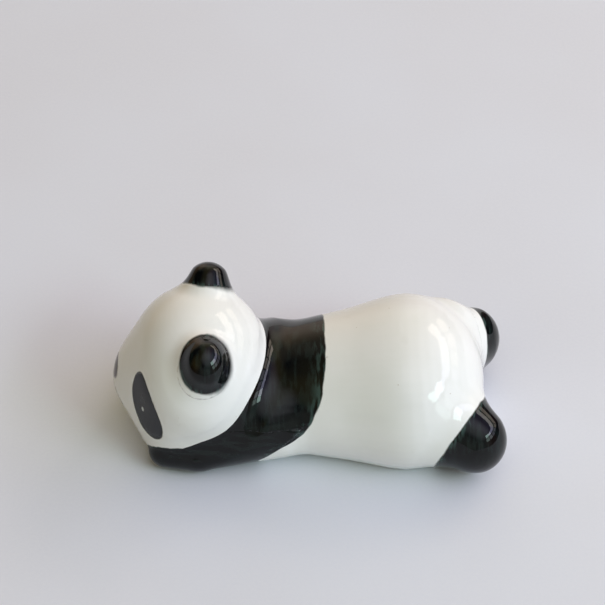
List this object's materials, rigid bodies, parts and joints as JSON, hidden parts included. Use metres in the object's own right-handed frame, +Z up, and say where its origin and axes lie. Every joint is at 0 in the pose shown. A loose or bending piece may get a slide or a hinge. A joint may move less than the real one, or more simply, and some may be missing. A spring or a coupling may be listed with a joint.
{
  "type": "chopstick rest",
  "caption": "Small glazed porcelain chopstick rest shaped as a panda lying on its belly; the sticks lie across the dip behind its head.",
  "frame": {"origin": "middle of the object's outline on the table, at the height of the table", "axes": "+X from the head to the hind feet, +Y to the panda's right side, +Z up"},
  "size_m": [0.0594, 0.0304, 0.0245],
  "materials": {
    "porcelain_white": "white porcelain under a clear gloss glaze with a faint green tint",
    "underglaze_black": "brushed black underglaze colour under a clear gloss glaze",
    "underglaze_grey": "flat dark grey underglaze colour under a clear gloss glaze",
    "underglaze_brown": "thin dark brown underglaze colour under a clear gloss glaze"
  },
  "bodies": {
    "root": {"head": "porcelain_white", "ear_left": "underglaze_black", "ear_right": "underglaze_black", "eye_patch_left": "underglaze_grey", "eye_patch_right": "underglaze_grey", "nose": "underglaze_brown", "mouth": "underglaze_brown", "shoulders": "underglaze_black", "chest": "underglaze_black", "arm_left": "underglaze_black", "arm_right": "underglaze_black", "body": "porcelain_white", "foot_left": "underglaze_black", "foot_right": "underglaze_black"}
  },
  "joints": []
}
